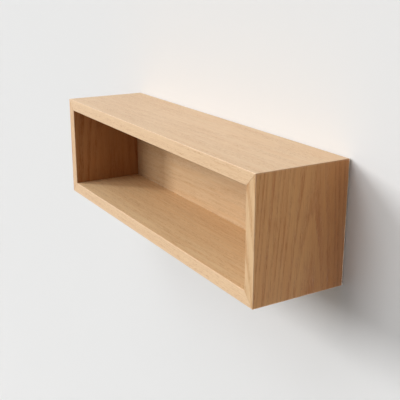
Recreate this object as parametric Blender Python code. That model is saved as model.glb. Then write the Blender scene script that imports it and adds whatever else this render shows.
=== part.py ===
# Open-fronted wall shelf in solid oak: four mitred boards round a grooved back panel,
# hooked over an aluminium rail that is screwed to the wall.
# Metres. X runs along the shelf, Y runs into the wall, Z is up.
# Y = 0 is the wall's surface and Z = 0 is the line of the wall screws.
import math

import bmesh
import bpy
from mathutils import Matrix, Vector

# Oak box
WIDTH = 0.600
HEIGHT = 0.175
DEPTH = 0.145
BOARD = 0.019
ARRIS = 0.0006
MITRE_GAP = 0.0003
REVEAL = 0.002

# Back panel and its groove
BACK_THICKNESS = 0.006
BACK_RECESS = 0.012
GROOVE_DEPTH = 0.006
GROOVE_END_ROOM = 0.0005

# Oval biscuits across the mitres, in slots cut by a small round cutter
BISCUITS_PER_CORNER = 2
BISCUIT_THICKNESS = 0.0037
BISCUIT_TIP = 0.004
BISCUIT_GLUE_ROOM = 0.00075
BISCUIT_FROM_INSIDE = 0.009
SLOT_CUTTER_RADIUS = 0.027
SLOT_DEPTH = 0.0075
SLOT_FRONT_MARGIN = 0.012
SLOT_GROOVE_MARGIN = 0.006

# Aluminium rails: a hooked one on the wall and an angle under the top board
RAIL_GAUGE = 0.002
RAIL_END_PLAY = 0.002
CHANNEL_PLAY = 0.0003
HOOK_HEIGHT = 0.010
HOOK_LEAD_IN = 0.0008
CHANNEL_ABOVE_SCREWS = 0.014
WEB_BELOW_SCREWS = 0.012
ANGLE_HEIGHT = 0.026
ANGLE_TO_BACK = 0.001
ANGLE_NOSE = 0.0005
RAIL_EDGE = 0.0002

# Countersunk screws that hold the angle to the top board
ANGLE_SCREW_DIAMETER = 0.0035
ANGLE_SCREW_LENGTH = 0.015
ANGLE_SCREW_HEAD = 0.0070
ANGLE_SCREW_POINT = 0.004
ANGLE_SCREW_END_INSET = 0.040
ANGLE_SCREW_COUNT = 4
PILOT_EXTRA_DEPTH = 0.001

# Pan-head wall screws and their plugs
WALL_SCREW_DIAMETER = 0.0045
WALL_SCREW_LENGTH = 0.045
WALL_SCREW_HEAD = 0.0088
WALL_SCREW_HEAD_HEIGHT = 0.0028
WALL_SCREW_HEAD_RIM = 0.0006
WALL_SCREW_HEAD_FLAT = 0.0040
WALL_SCREW_POINT = 0.005
WALL_SCREW_END_INSET = 0.060
WALL_SCREW_COUNT = 3
LEVEL_SLOT_TRAVEL = 0.004
PLUG_DIAMETER = 0.008
PLUG_LENGTH = 0.040
PLUG_COLLAR = 0.009
PLUG_BARB = 0.0004
PLUG_BARB_UNDERCUT = 0.0009
PLUG_BARB_COUNT = 5
PLUG_SPLIT_WIDTH = 0.0012
PLUG_SPLIT_START = 0.009

# Cross recess in every screw head
RECESS_ACROSS = 0.0042
RECESS_ARM = 0.0009
RECESS_DEPTH = 0.0016
RECESS_TAPER = 0.55

# Round wall pads on the rear edge of the bottom board
PAD_DIAMETER = 0.012
PAD_INSET = 0.040
PAD_EDGE = 0.0003

# Clearance between pieces that touch, and how far a cutter runs past what it cuts
SEAT = 0.0003
PAST = 0.002
SCREW_SIDES = 24
PLUG_SIDES = 24
PAD_SIDES = 48
ARC_STEPS = 14
CROWN_STEPS = 4
ARRIS_SEGMENTS = 2
SMOOTH_ANGLE = math.radians(35)
EDGE_ANGLE = math.radians(30)
WELD = 0.000001

# Places that follow from the sizes
BOX_REAR_Y = -REVEAL
BOX_FRONT_Y = BOX_REAR_Y - DEPTH
BACK_REAR_Y = BOX_REAR_Y - BACK_RECESS
BACK_FRONT_Y = BACK_REAR_Y - BACK_THICKNESS
CHANNEL_FLOOR_Z = CHANNEL_ABOVE_SCREWS + RAIL_GAUGE
ANGLE_FOOT_Z = CHANNEL_FLOOR_Z + SEAT
ANGLE_TOP_Z = ANGLE_FOOT_Z + ANGLE_HEIGHT
CEILING_Z = ANGLE_TOP_Z + SEAT
BOX_TOP_Z = CEILING_Z + BOARD
BOX_BOTTOM_Z = BOX_TOP_Z - HEIGHT
BOX_CENTRE = Vector((0.0, (BOX_FRONT_Y + BOX_REAR_Y) / 2, (BOX_TOP_Z + BOX_BOTTOM_Z) / 2))
RAIL_LENGTH = WIDTH - 2 * BOARD - 2 * RAIL_END_PLAY
ANGLE_REAR_Y = -RAIL_GAUGE - CHANNEL_PLAY
ANGLE_FRONT_Y = BACK_REAR_Y + ANGLE_TO_BACK


def clear_scene():
    """Remove whatever the scene holds, so that the model starts from nothing."""
    for thing in list(bpy.data.objects):
        bpy.data.objects.remove(thing, do_unlink=True)


def material(name, colour, roughness, metallic=0.0):
    """A Principled material of one colour."""
    finish = bpy.data.materials.new(name)
    finish.use_nodes = True
    shader = finish.node_tree.nodes["Principled BSDF"]
    shader.inputs["Base Color"].default_value = (*colour, 1.0)
    shader.inputs["Roughness"].default_value = roughness
    shader.inputs["Metallic"].default_value = metallic
    finish.diffuse_color = (*colour, 1.0)
    return finish


def new_object(name, mesh, finish=None, parent=None, place=None):
    """An object on a mesh, at a place that is a vector or a full matrix."""
    thing = bpy.data.objects.new(name, mesh)
    bpy.context.scene.collection.objects.link(thing)
    if finish is not None and not mesh.materials:
        mesh.materials.append(finish)
    if parent is not None:
        thing.parent = parent
    if isinstance(place, Matrix):
        thing.matrix_local = place
    elif place is not None:
        thing.location = place
    return thing


def mesh_from(name, shape):
    """Turn an edited shape into a mesh with its faces pointing out."""
    bmesh.ops.recalc_face_normals(shape, faces=shape.faces[:])
    mesh = bpy.data.meshes.new(name)
    shape.to_mesh(mesh)
    shape.free()
    return mesh


def block(shape, low, high):
    """Add a closed block between two corners."""
    size = Vector(high) - Vector(low)
    middle = (Vector(high) + Vector(low)) / 2
    matrix = Matrix.Translation(middle) @ Matrix.Diagonal((*size, 1.0))
    return bmesh.ops.create_cube(shape, size=1.0, matrix=matrix)["verts"]


def prism(shape, outline, start, end):
    """Add a closed prism: an outline of 3-D points at start, drawn along to end."""
    base = [shape.verts.new(Vector(point) + Vector(start)) for point in outline]
    face = shape.faces.new(base)
    drawn = bmesh.ops.extrude_face_region(shape, geom=[face])
    moved = [item for item in drawn["geom"] if isinstance(item, bmesh.types.BMVert)]
    bmesh.ops.translate(shape, verts=moved, vec=Vector(end) - Vector(start))


def turned(name, profile, sides):
    """A mesh turned about Z from (radius, height) points that start and end on the axis."""
    shape = bmesh.new()
    points = [shape.verts.new((radius, 0.0, height)) for radius, height in profile]
    edges = [shape.edges.new(pair) for pair in zip(points, points[1:])]
    bmesh.ops.spin(
        shape, geom=points + edges, cent=(0, 0, 0), axis=(0, 0, 1), angle=2 * math.pi, steps=sides
    )
    bmesh.ops.remove_doubles(shape, verts=shape.verts[:], dist=WELD)
    mesh = mesh_from(name, shape)
    mesh.shade_smooth()
    mesh.set_sharp_from_angle(angle=SMOOTH_ANGLE)
    return mesh


def cutter(name, mesh, parent, place=None):
    """A shape that only cuts or trims others: drawn as wire and never rendered."""
    tool = new_object(name, mesh, parent=parent, place=place)
    tool.hide_render = True
    tool.display_type = "WIRE"
    return tool


def cut(target, tool, operation="DIFFERENCE"):
    """Leave an exact Boolean on the target."""
    step = target.modifiers.new(tool.name, "BOOLEAN")
    step.operation = operation
    step.solver = "EXACT"
    step.object = tool


def spread(count, end_inset):
    """Evenly spaced places along the rails, the outer two at the same distance from the ends."""
    reach = RAIL_LENGTH / 2 - end_inset
    if count == 1:
        return [0.0]
    return [-reach + 2 * reach * step / (count - 1) for step in range(count)]


def slot_half_length():
    """Half the chord that the round cutter leaves open in the mitre face."""
    distance = SLOT_CUTTER_RADIUS - SLOT_DEPTH
    return math.sqrt(SLOT_CUTTER_RADIUS ** 2 - distance ** 2)


def biscuit_rows():
    """Places of the biscuits across the box's depth, spread between its front and the groove."""
    reach = slot_half_length()
    first = -DEPTH / 2 + SLOT_FRONT_MARGIN + reach
    last = DEPTH / 2 - BACK_RECESS - BACK_THICKNESS - SEAT - SLOT_GROOVE_MARGIN - reach
    gaps = max(1, BISCUITS_PER_CORNER - 1)
    return [first + (last - first) * step / gaps for step in range(BISCUITS_PER_CORNER)]


def mitre_frame(side_x, side_z, row, into):
    """Matrix of a biscuit or its slot: X along the depth, Y into a board, Z across the mitre face."""
    outward = Vector((side_x, 0.0, side_z)) / math.sqrt(2)
    inner = Vector((side_x * (WIDTH / 2 - BOARD), row, side_z * (HEIGHT / 2 - BOARD)))
    origin = inner + outward * BISCUIT_FROM_INSIDE
    along = Vector((0.0, 1.0, 0.0))
    across = Vector(into).normalized()
    normal = along.cross(across)
    matrix = Matrix((along, across, normal)).transposed().to_4x4()
    matrix.translation = origin
    return matrix


def board_envelope():
    """The whole box as one block with its outer edges eased, as it is sanded after glue-up."""
    shape = bmesh.new()
    half = Vector((WIDTH, DEPTH, HEIGHT)) / 2
    block(shape, -half, half)
    bmesh.ops.bevel(
        shape,
        geom=shape.edges[:],
        offset=ARRIS,
        segments=ARRIS_SEGMENTS,
        profile=0.5,
        affect="EDGES",
    )
    return mesh_from("board_envelope", shape)


def board_wedge(name, outward):
    """The share of the box that one board takes between its two mitre planes."""
    across = Vector((outward.z, 0.0, -outward.x))
    reach = WIDTH / 2 if outward.x else HEIGHT / 2
    side = HEIGHT / 2 if outward.x else WIDTH / 2
    give = MITRE_GAP / math.sqrt(2)
    deep = BOARD + PAST
    outline = [
        outward * (reach + PAST) + across * (side + PAST - give),
        outward * (reach + PAST) - across * (side + PAST - give),
        outward * (reach - deep) - across * (side - deep - give),
        outward * (reach - deep) + across * (side - deep - give),
    ]
    shape = bmesh.new()
    half = Vector((0.0, DEPTH / 2 + PAST, 0.0))
    prism(shape, outline, -half, half)
    return mesh_from(name, shape)


def opening_shape():
    """The hollow of the box, flared at both mouths so that the inner edges are eased too."""
    shape = bmesh.new()
    rings = []
    for place, flare in (
        (-DEPTH / 2 - PAST, ARRIS + PAST),
        (-DEPTH / 2 + ARRIS, 0.0),
        (DEPTH / 2 - ARRIS, 0.0),
        (DEPTH / 2 + PAST, ARRIS + PAST),
    ):
        x = WIDTH / 2 - BOARD + flare
        z = HEIGHT / 2 - BOARD + flare
        corners = ((-x, -z), (x, -z), (x, z), (-x, z))
        rings.append([shape.verts.new((cx, place, cz)) for cx, cz in corners])
    for near, far in zip(rings, rings[1:]):
        for step in range(4):
            follow = (step + 1) % 4
            shape.faces.new((near[step], near[follow], far[follow], far[step]))
    shape.faces.new(rings[0])
    shape.faces.new(reversed(rings[-1]))
    return mesh_from("box_hollow", shape)


def back_groove_shape():
    """The run of the groove that all four boards share, a seat wider than the back panel."""
    shape = bmesh.new()
    x = WIDTH / 2 - BOARD + GROOVE_DEPTH
    z = HEIGHT / 2 - BOARD + GROOVE_DEPTH
    front = BACK_FRONT_Y - SEAT - BOX_CENTRE.y
    rear = BACK_REAR_Y + SEAT - BOX_CENTRE.y
    block(shape, (-x, front, -z), (x, rear, z))
    return mesh_from("back_groove", shape)


def cutter_arc(lowest):
    """Points of the cutter's arc in the board, from its end at a depth round to the other one."""
    centre = SLOT_DEPTH - SLOT_CUTTER_RADIUS
    half_angle = math.acos((lowest - centre) / SLOT_CUTTER_RADIUS)
    points = []
    for step in range(ARC_STEPS + 1):
        angle = half_angle - 2 * half_angle * step / ARC_STEPS
        along = SLOT_CUTTER_RADIUS * math.sin(angle)
        points.append(Vector((along, centre + SLOT_CUTTER_RADIUS * math.cos(angle), 0.0)))
    return points


def slot_shape(name, frames):
    """Biscuit slots: the part of a round cutter's disc that enters the mitre face."""
    shape = bmesh.new()
    outline = cutter_arc(-PAST / 2)
    for frame in frames:
        offset = frame.to_3x3() @ Vector((0.0, 0.0, BISCUIT_THICKNESS / 2 + SEAT))
        prism(shape, [frame @ point for point in outline], -offset, offset)
    return mesh_from(name, shape)


def biscuit_shape():
    """One oval biscuit: the cutter's arc on both sides, less the room for glue, and flat tips."""
    shape = bmesh.new()
    room = Vector((0.0, BISCUIT_GLUE_ROOM, 0.0))
    near = [point - room for point in cutter_arc(BISCUIT_TIP / 2 + BISCUIT_GLUE_ROOM)]
    outline = near + [-point for point in near]
    half = Vector((0.0, 0.0, BISCUIT_THICKNESS / 2))
    prism(shape, outline, -half, half)
    return mesh_from("biscuit", shape)


def extrusion(name, outline):
    """A rail: a (y, z) outline drawn along X for the length of both rails."""
    shape = bmesh.new()
    half = Vector((RAIL_LENGTH / 2, 0.0, 0.0))
    prism(shape, [(0.0, y, z) for y, z in outline], -half, half)
    return mesh_from(name, shape)


def ease_edges(thing, width):
    """A small bevel on every sharp edge, as left by the extrusion die or the saw."""
    bevel = thing.modifiers.new("eased_edges", "BEVEL")
    bevel.width = width
    bevel.segments = 1
    bevel.limit_method = "ANGLE"
    bevel.angle_limit = EDGE_ANGLE


def cross_recess(name):
    """The tapered cross that takes the screwdriver, pointing along +Z into the head."""
    shape = bmesh.new()
    arm = RECESS_ARM / 2
    reach = RECESS_ACROSS / 2
    quarter = ((reach, -arm), (reach, arm), (arm, arm))
    outline = []
    for turn in range(4):
        spin = Matrix.Rotation(turn * math.pi / 2, 2)
        outline += [spin @ Vector(point) for point in quarter]
    rings = []
    for height, size in ((-PAST, 1.0), (0.0, 1.0), (RECESS_DEPTH, RECESS_TAPER)):
        rings.append([shape.verts.new((*(point * size), height)) for point in outline])
    count = len(outline)
    for near, far in zip(rings, rings[1:]):
        for step in range(count):
            follow = (step + 1) % count
            shape.faces.new((near[step], near[follow], far[follow], far[step]))
    shape.faces.new(rings[0])
    shape.faces.new(reversed(rings[-1]))
    return mesh_from(name, shape)


def countersunk_profile(grow=0.0, extra=0.0):
    """Outline of a countersunk screw from its head's flat at height 0, or of its hole."""
    head = ANGLE_SCREW_HEAD / 2 + grow
    shank = ANGLE_SCREW_DIAMETER / 2 + grow
    # A 45-degree cone set off by the clearance starts this much further in.
    cone_start = grow * (math.sqrt(2) - 1)
    return [
        (0.0, -extra),
        (head, -extra),
        (head, cone_start),
        (shank, cone_start + head - shank),
        (shank, ANGLE_SCREW_LENGTH - ANGLE_SCREW_POINT),
        (0.0, ANGLE_SCREW_LENGTH + (PILOT_EXTRA_DEPTH if grow else 0.0)),
    ]


def pan_head_profile():
    """Outline of a pan-head screw, its head below height 0 and its shank above."""
    head = WALL_SCREW_HEAD / 2
    flat = WALL_SCREW_HEAD_FLAT / 2
    shank = WALL_SCREW_DIAMETER / 2
    crown = [(0.0, -WALL_SCREW_HEAD_HEIGHT)]
    for step in range(CROWN_STEPS + 1):
        angle = math.pi / 2 * step / CROWN_STEPS
        radius = flat + (head - flat) * math.sin(angle)
        rise = WALL_SCREW_HEAD_RIM + (WALL_SCREW_HEAD_HEIGHT - WALL_SCREW_HEAD_RIM) * math.cos(angle)
        crown.append((radius, -rise))
    return crown + [
        (head, 0.0),
        (shank, 0.0),
        (shank, WALL_SCREW_LENGTH - WALL_SCREW_POINT),
        (0.0, WALL_SCREW_LENGTH),
    ]


def plug_shape():
    """A barbed nylon plug with an open bore: collar at height 0, barbs towards its far end."""
    outer = PLUG_DIAMETER / 2
    bore = WALL_SCREW_DIAMETER / 2 + SEAT
    collar_end = (PLUG_COLLAR - PLUG_DIAMETER) / 2
    barb_start = PLUG_SPLIT_START
    pitch = (PLUG_LENGTH - barb_start) / PLUG_BARB_COUNT
    profile = [(bore, 0.0), (PLUG_COLLAR / 2, 0.0), (outer, collar_end), (outer, barb_start)]
    for barb in range(PLUG_BARB_COUNT):
        start = barb_start + barb * pitch
        profile.append((outer - PLUG_BARB, start + PLUG_BARB_UNDERCUT))
        is_tip = barb == PLUG_BARB_COUNT - 1
        profile.append((outer - PLUG_BARB if is_tip else outer, start + pitch))
    profile += [(bore, PLUG_LENGTH), (bore, 0.0)]
    return turned("wall_plug", profile, PLUG_SIDES)


def rail_hole(name, travel):
    """A hole through the rail's web, drawn out upright by the travel that levelling needs."""
    shape = bmesh.new()
    radius = WALL_SCREW_DIAMETER / 2 + SEAT
    outline = []
    for step in range(SCREW_SIDES):
        angle = 2 * math.pi * (step + 0.5) / SCREW_SIDES
        z = radius * math.sin(angle)
        outline.append((radius * math.cos(angle), 0.0, z + math.copysign(travel / 2, z)))
    prism(shape, outline, (0.0, -RAIL_GAUGE - PAST, 0.0), (0.0, PAST, 0.0))
    return mesh_from(name, shape)


clear_scene()

oak = material("oak", (0.62, 0.42, 0.25), 0.55)
oak_back = material("oak_back", (0.60, 0.40, 0.24), 0.55)
beech = material("beech", (0.68, 0.50, 0.33), 0.75)
aluminium = material("aluminium", (0.80, 0.81, 0.82), 0.35, 1.0)
zinc = material("zinc_plated_steel", (0.72, 0.73, 0.74), 0.30, 1.0)
nylon = material("nylon", (0.55, 0.56, 0.57), 0.50)
felt = material("pad_felt", (0.30, 0.29, 0.28), 0.90)

# What stays on the wall hangs from one empty, and what lifts off it from another.
wall_mount = new_object("wall_mount", None)
shelf = new_object("shelf", None)

# Oak boards: each is the eased box, trimmed to its share between the mitre planes.
hollow = cutter("box_hollow", opening_shape(), shelf, BOX_CENTRE)
groove = cutter("back_groove", back_groove_shape(), shelf, BOX_CENTRE)
rows = biscuit_rows()
board_facing = {
    "top_board": Vector((0.0, 0.0, 1.0)),
    "bottom_board": Vector((0.0, 0.0, -1.0)),
    "left_side_board": Vector((-1.0, 0.0, 0.0)),
    "right_side_board": Vector((1.0, 0.0, 0.0)),
}
boards = {}
for name, outward in board_facing.items():
    board = new_object(name, board_envelope(), oak, shelf, BOX_CENTRE)
    wedge = cutter(name + "_mitres", board_wedge(name + "_mitres", outward), shelf, BOX_CENTRE)
    frames = []
    for row in rows:
        for end in (-1, 1):
            corner = Vector((outward.x or end, 0.0, outward.z or end))
            into = 2 * outward - corner
            frames.append(mitre_frame(corner.x, corner.z, row, into))
    slots = cutter(name + "_slots", slot_shape(name + "_slots", frames), shelf, BOX_CENTRE)
    cut(board, wedge, "INTERSECT")
    cut(board, hollow)
    cut(board, groove)
    cut(board, slots)
    boards[name] = board

# Biscuits: beech ovals glued into the slots across each mitre.
biscuit = biscuit_shape()
corners = (
    ("top_left", -1, 1),
    ("top_right", 1, 1),
    ("bottom_left", -1, -1),
    ("bottom_right", 1, -1),
)
for label, side_x, side_z in corners:
    for number, row in enumerate(rows, start=1):
        frame = mitre_frame(side_x, side_z, row, (-side_x, 0.0, side_z))
        place = Matrix.Translation(BOX_CENTRE) @ frame
        new_object(f"biscuit_{label}_{number}", biscuit, beech, shelf, place)

# Back panel: oak-veneered board held in the groove on all four sides.
panel = bmesh.new()
panel_x = WIDTH / 2 - BOARD + GROOVE_DEPTH - GROOVE_END_ROOM
panel_z = HEIGHT / 2 - BOARD + GROOVE_DEPTH - GROOVE_END_ROOM
panel_y = BACK_THICKNESS / 2
block(panel, (-panel_x, -panel_y, -panel_z), (panel_x, panel_y, panel_z))
panel_place = Vector((0.0, (BACK_FRONT_Y + BACK_REAR_Y) / 2, BOX_CENTRE.z))
new_object("back_panel", mesh_from("back_panel", panel), oak_back, shelf, panel_place)

# Hanging angle under the top board; its hanging leg drops into the wall rail's channel.
angle_inner_y = ANGLE_REAR_Y - RAIL_GAUGE
angle = new_object(
    "hanging_angle",
    extrusion(
        "hanging_angle",
        [
            (ANGLE_REAR_Y, ANGLE_TOP_Z),
            (ANGLE_FRONT_Y, ANGLE_TOP_Z),
            (ANGLE_FRONT_Y, ANGLE_TOP_Z - RAIL_GAUGE),
            (angle_inner_y, ANGLE_TOP_Z - RAIL_GAUGE),
            (angle_inner_y, ANGLE_FOOT_Z + ANGLE_NOSE),
            (angle_inner_y + ANGLE_NOSE, ANGLE_FOOT_Z),
            (ANGLE_REAR_Y - ANGLE_NOSE, ANGLE_FOOT_Z),
            (ANGLE_REAR_Y, ANGLE_FOOT_Z + ANGLE_NOSE),
        ],
    ),
    aluminium,
    shelf,
)
ease_edges(angle, RAIL_EDGE)

# Countersunk screws up through the angle into the top board.
screw_y = (angle_inner_y + ANGLE_FRONT_Y) / 2
screw_z = ANGLE_TOP_Z - RAIL_GAUGE
screw_rows = spread(ANGLE_SCREW_COUNT, ANGLE_SCREW_END_INSET)
screw_places = [Vector((x, screw_y, screw_z)) for x in screw_rows]
angle_screw = turned("angle_screw", countersunk_profile(), SCREW_SIDES)
screw_hole = turned("angle_screw_hole", countersunk_profile(SEAT, PAST), SCREW_SIDES)
small_recess = cross_recess("angle_screw_recess")
for number, place in enumerate(screw_places, start=1):
    hole = cutter(f"angle_screw_hole_{number}", screw_hole, shelf, place)
    cut(angle, hole)
    cut(boards["top_board"], hole)
    screw = new_object(f"angle_screw_{number}", angle_screw, zinc, shelf, place)
    cut(screw, cutter(f"angle_screw_recess_{number}", small_recess, shelf, place))

# Wall rail: a flat web against the wall and an upturned hook that forms the channel.
lip_rear_y = -2 * (RAIL_GAUGE + CHANNEL_PLAY)
lip_front_y = lip_rear_y - RAIL_GAUGE
hook_top_z = CHANNEL_FLOOR_Z + HOOK_HEIGHT
rail = new_object(
    "wall_rail",
    extrusion(
        "wall_rail",
        [
            (0.0, -WEB_BELOW_SCREWS),
            (0.0, hook_top_z),
            (-RAIL_GAUGE, hook_top_z),
            (-RAIL_GAUGE, CHANNEL_FLOOR_Z),
            (lip_rear_y, CHANNEL_FLOOR_Z),
            (lip_rear_y, hook_top_z - HOOK_LEAD_IN),
            (lip_rear_y - HOOK_LEAD_IN, hook_top_z),
            (lip_front_y, hook_top_z),
            (lip_front_y, CHANNEL_ABOVE_SCREWS),
            (-RAIL_GAUGE, CHANNEL_ABOVE_SCREWS),
            (-RAIL_GAUGE, -WEB_BELOW_SCREWS),
        ],
    ),
    aluminium,
    wall_mount,
)
ease_edges(rail, RAIL_EDGE)

# Pan-head screws through the rail's web into nylon plugs.
# The middle hole is round and the outer ones are upright slots, for levelling.
into_wall = Matrix.Rotation(-math.pi / 2, 4, "X")
wall_screw = turned("wall_screw", pan_head_profile(), SCREW_SIDES)
wall_recess = cross_recess("wall_screw_recess")
plug = plug_shape()
split = bmesh.new()
split_x = PLUG_COLLAR / 2 + PAST
split_y = PLUG_SPLIT_WIDTH / 2
block(split, (-split_x, -split_y, PLUG_SPLIT_START), (split_x, split_y, PLUG_LENGTH + PAST))
plug_split = mesh_from("plug_split", split)
round_hole = rail_hole("rail_hole", 0.0)
level_slot = rail_hole("rail_level_slot", LEVEL_SLOT_TRAVEL)
wall_places = spread(WALL_SCREW_COUNT, WALL_SCREW_END_INSET)
for number, x in enumerate(wall_places, start=1):
    is_middle = 2 * number == WALL_SCREW_COUNT + 1
    opening = round_hole if is_middle else level_slot
    hole = cutter(f"rail_hole_{number}", opening, wall_mount, Vector((x, 0.0, 0.0)))
    cut(rail, hole)
    head_place = Matrix.Translation((x, -RAIL_GAUGE - SEAT, 0.0)) @ into_wall
    screw = new_object(f"wall_screw_{number}", wall_screw, zinc, wall_mount, head_place)
    recess_place = head_place @ Matrix.Translation((0.0, 0.0, -WALL_SCREW_HEAD_HEIGHT))
    cut(screw, cutter(f"wall_screw_recess_{number}", wall_recess, wall_mount, recess_place))
    plug_place = Matrix.Translation((x, SEAT, 0.0)) @ into_wall
    sleeve = new_object(f"wall_plug_{number}", plug, nylon, wall_mount, plug_place)
    cut(sleeve, cutter(f"plug_split_{number}", plug_split, wall_mount, plug_place))

# Pads on the rear edge of the bottom board keep the shadow gap to the wall even.
pad_thickness = REVEAL - SEAT
pad = turned(
    "wall_pad",
    [
        (0.0, 0.0),
        (PAD_DIAMETER / 2, 0.0),
        (PAD_DIAMETER / 2, pad_thickness - PAD_EDGE),
        (PAD_DIAMETER / 2 - PAD_EDGE, pad_thickness),
        (0.0, pad_thickness),
    ],
    PAD_SIDES,
)
for label, side in (("left", -1), ("right", 1)):
    x = side * (WIDTH / 2 - PAD_INSET)
    place = Matrix.Translation((x, -pad_thickness, BOX_BOTTOM_Z + BOARD / 2)) @ into_wall
    new_object(f"wall_pad_{label}", pad, felt, shelf, place)
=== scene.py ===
import math

import bmesh
import bpy
import numpy as np
from mathutils import Matrix, Vector


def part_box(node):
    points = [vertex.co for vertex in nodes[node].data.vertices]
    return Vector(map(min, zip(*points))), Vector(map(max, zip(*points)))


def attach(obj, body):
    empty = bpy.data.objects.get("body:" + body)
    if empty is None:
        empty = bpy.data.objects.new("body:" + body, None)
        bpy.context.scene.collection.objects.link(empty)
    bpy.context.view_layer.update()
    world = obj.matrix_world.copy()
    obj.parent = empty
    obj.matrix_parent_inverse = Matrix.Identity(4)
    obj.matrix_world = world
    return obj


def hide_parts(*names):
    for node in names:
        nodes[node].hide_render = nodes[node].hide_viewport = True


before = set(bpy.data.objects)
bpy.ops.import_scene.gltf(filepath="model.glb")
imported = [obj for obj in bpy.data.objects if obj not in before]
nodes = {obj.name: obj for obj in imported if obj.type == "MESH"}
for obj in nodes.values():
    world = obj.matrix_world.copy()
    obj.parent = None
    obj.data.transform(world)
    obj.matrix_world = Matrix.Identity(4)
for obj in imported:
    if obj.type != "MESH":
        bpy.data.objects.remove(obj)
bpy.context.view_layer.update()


# Four boards of solid white oak, mitred at the corners and glued over biscuits, then sanded and oiled.
# The side boards' grain stands upright and the other two's runs lengthwise, so it turns each corner.
# Every board is cut from its own place in the log, so each has its own rings.
MM = 1000.0

# The figure's features in mm: their size across, into and along the wood.
SLOW_WANDER = (60.0, 60.0, 240.0)
QUICK_WANDER = (12.0, 12.0, 80.0)
RING_PATCH = (15.0, 15.0, 60.0)
FINE_FIBRE = (0.7, 0.7, 34.0)
STREAK = (1.5, 1.5, 26.0)
BROAD_FIBRE = (4.0, 4.0, 95.0)
CLOUD = (20.0, 20.0, 170.0)
WARM_BAND = (5.0, 9.0, 130.0)
WARM_SHIFT = (310.0, 170.0, 90.0)
STROKE = (1.7, 1.7, 15.0)
PORE = (0.6, 0.6, 7.5)
RAY_FLECK = (1.0, 6.0, 4.5)

# How far in from an arris the wood is worn, and the size of the worn patches, in m.
WORN_REACH = 0.0028
WORN_PATCH = (0.014, 0.014, 0.014)

# What one tone of oak is multiplied by in its pale and dark wood, its warm bands and its pores.
PALE_WOOD = (1.08, 1.11, 1.13)
DARK_WOOD = (0.80, 0.62, 0.45)
WARM_WOOD = (0.97, 0.91, 0.84)
PORE_WOOD = (0.60, 0.42, 0.28)
EDGE_OAK = (0.82, 0.56, 0.34)


def add(tree, kind, feeds=None, **settings):
    """Place a node. Settings are its own properties; feeds are sockets or plain values."""
    made = tree.nodes.new(kind)
    for name, value in settings.items():
        setattr(made, name, value)
    for name, value in (feeds or {}).items():
        if isinstance(value, bpy.types.NodeSocket):
            tree.links.new(value, made.inputs[name])
        else:
            made.inputs[name].default_value = value
    return made


def calc(tree, operation, *feeds):
    """One step of arithmetic on numbers that change over the surface."""
    return add(tree, "ShaderNodeMath", dict(enumerate(feeds)), operation=operation).outputs[0]


def ramp(tree, value, low, high, to_low=0.0, to_high=1.0):
    """A soft step of a value from one level to another."""
    feeds = {"Value": value, "From Min": low, "From Max": high, "To Min": to_low, "To Max": to_high}
    return add(tree, "ShaderNodeMapRange", feeds, interpolation_type="SMOOTHSTEP").outputs[0]


def scaled(tree, vector, scale):
    """A position multiplied by a number in each direction."""
    return add(tree, "ShaderNodeVectorMath", {0: vector, 1: scale}, operation="MULTIPLY").outputs[0]


def noise(tree, vector, size, detail=2.0, roughness=0.5, distortion=0.0):
    """Cloudy variation from 0 to 1 whose clouds are about as large as the size."""
    feeds = {"Vector": scaled(tree, vector, tuple(1 / length for length in size)), "Scale": 1.0}
    feeds.update({"Detail": detail, "Roughness": roughness, "Distortion": distortion})
    return add(tree, "ShaderNodeTexNoise", feeds, noise_dimensions="3D").outputs["Fac"]


def noise_along(tree, value, scale, detail, roughness):
    """Variation from 0 to 1 as one number rises."""
    feeds = {"W": value, "Scale": scale, "Detail": detail, "Roughness": roughness}
    return add(tree, "ShaderNodeTexNoise", feeds, noise_dimensions="1D").outputs["Fac"]


def cells(tree, vector, size, spread=1.0):
    """The nearest of points about a size apart: its distance and its colour. Spread 0 is a plain grid."""
    vector = scaled(tree, vector, tuple(1 / length for length in size))
    feeds = {"Vector": vector, "Scale": 1.0, "Randomness": spread}
    return add(tree, "ShaderNodeTexVoronoi", feeds, feature="F1").outputs


def chance(tree, found):
    """One random number for each cell."""
    return add(tree, "ShaderNodeSeparateColor", {0: found["Color"]}).outputs[0]


def blend_colour(tree, factor, first, second, how="MIX"):
    """Mix two colours by a mask."""
    made = add(tree, "ShaderNodeMix", data_type="RGBA", blend_type=how)
    for socket, value in ((made.inputs[0], factor), (made.inputs[6], first), (made.inputs[7], second)):
        if isinstance(value, bpy.types.NodeSocket):
            tree.links.new(value, socket)
        elif isinstance(value, tuple):
            socket.default_value = (*value, 1.0)
        else:
            socket.default_value = value
    return made.outputs[2]


def emboss(tree, shader, height, strength, depth):
    """Raise and sink the surface by a mask; the depth is in m."""
    bump = add(tree, "ShaderNodeBump", {"Height": height, "Strength": strength, "Distance": depth})
    tree.links.new(bump.outputs[0], shader.inputs["Normal"])


def new_finish(name):
    """A new material, its node tree and its main shader."""
    finish = bpy.data.materials.new(name)
    finish.use_nodes = True
    return finish, finish.node_tree, finish.node_tree.nodes["Principled BSDF"]


def new_group(name, takes, gives):
    """A shader node group. Each input is (name, kind, value), and each output is a plain number."""
    group = bpy.data.node_groups.new(name, "ShaderNodeTree")
    for label, kind, value in takes:
        socket = group.interface.new_socket(label, in_out="INPUT", socket_type="NodeSocket" + kind)
        if value is not None:
            socket.default_value = value
    for label in gives:
        group.interface.new_socket(label, in_out="OUTPUT", socket_type="NodeSocketFloat")
    return group, group.nodes.new("NodeGroupInput").outputs, group.nodes.new("NodeGroupOutput").inputs


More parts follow.
